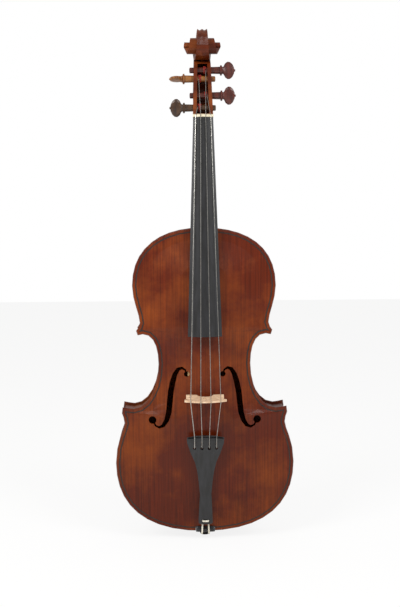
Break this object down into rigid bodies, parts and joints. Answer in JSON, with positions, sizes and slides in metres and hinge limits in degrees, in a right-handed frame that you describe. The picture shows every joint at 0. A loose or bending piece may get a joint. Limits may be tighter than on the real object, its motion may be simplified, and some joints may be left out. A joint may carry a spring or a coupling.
{
  "type": "viola",
  "caption": "Worn red-brown viola with ebony fingerboard and tailpiece, mismatched wooden pegs, maple bridge and carved scroll, complete inside.",
  "frame": {"origin": "centre of the end button's flat end face", "axes": "+Z along the neck towards the scroll, -Y out of the front (strings), +X towards the treble side"},
  "size_m": [0.2218, 0.1037, 0.6327],
  "materials": {
    "varnished_spruce": "worn red-brown oil varnish, glossy, over spruce",
    "varnished_maple": "worn red-brown oil varnish, glossy, over maple",
    "bare_wood": "bare, planed",
    "purfling": "dark inlaid strip",
    "ebony": "black, polished by hand",
    "bone": "polished bone",
    "bridge_maple": "unvarnished maple",
    "olive_peg_wood": "dark olive-brown, polished",
    "light_peg_wood": "golden brown, polished",
    "red_peg_wood": "reddish brown, polished",
    "string_metal": "wound metal string",
    "red_silk": "red silk winding",
    "tail_gut": "pale gut"
  },
  "bodies": {
    "body": {"top_plate": "varnished_spruce", "top_purfling_left": "purfling", "top_purfling_right": "purfling", "back_plate": "varnished_maple", "back_purfling": "purfling", "upper_rib_left": "varnished_maple", "upper_rib_right": "varnished_maple", "c_rib_left": "varnished_maple", "c_rib_right": "varnished_maple", "lower_rib_left": "varnished_maple", "lower_rib_right": "varnished_maple", "upper_block": "bare_wood", "lower_block": "bare_wood", "upper_corner_block_left": "bare_wood", "upper_corner_block_right": "bare_wood", "lower_corner_block_left": "bare_wood", "lower_corner_block_right": "bare_wood", "upper_lining_front_left": "bare_wood", "upper_lining_front_right": "bare_wood", "upper_lining_back_left": "bare_wood", "upper_lining_back_right": "bare_wood", "c_lining_front_left": "bare_wood", "c_lining_front_right": "bare_wood", "c_lining_back_left": "bare_wood", "c_lining_back_right": "bare_wood", "lower_lining_front_left": "bare_wood", "lower_lining_front_right": "bare_wood", "lower_lining_back_left": "bare_wood", "lower_lining_back_right": "bare_wood", "bass_bar": "bare_wood", "sound_post": "bare_wood", "neck_scroll": "varnished_maple", "fingerboard": "ebony", "nut": "bone", "string_c": "string_metal", "string_g": "string_metal", "string_d": "string_metal", "string_a": "string_metal", "bridge": "bridge_maple", "tailpiece": "ebony", "tailpiece_fret": "ebony", "tail_gut": "tail_gut", "saddle": "ebony", "end_button": "ebony"},
    "peg_c_body": {"peg_c": "olive_peg_wood", "string_c_winding": "red_silk"},
    "peg_g_body": {"peg_g": "light_peg_wood", "string_g_winding": "red_silk"},
    "peg_d_body": {"peg_d": "red_peg_wood", "string_d_winding": "red_silk"},
    "peg_a_body": {"peg_a": "red_peg_wood", "string_a_winding": "red_silk"}
  },
  "joints": [
    {"name": "peg_c_turn", "type": "hinge", "parent": "body", "child": "peg_c_body", "pos_m": [0, -0.0088, 0.5351], "axis": [1, 0, 0], "continuous": true},
    {"name": "peg_g_turn", "type": "hinge", "parent": "body", "child": "peg_g_body", "pos_m": [0, 0.0028, 0.5716], "axis": [1, 0, 0], "continuous": true},
    {"name": "peg_d_turn", "type": "hinge", "parent": "body", "child": "peg_d_body", "pos_m": [0, 0.0062, 0.5825], "axis": [1, 0, 0], "continuous": true},
    {"name": "peg_a_turn", "type": "hinge", "parent": "body", "child": "peg_a_body", "pos_m": [0, -0.003, 0.5506], "axis": [1, 0, 0], "continuous": true}
  ]
}
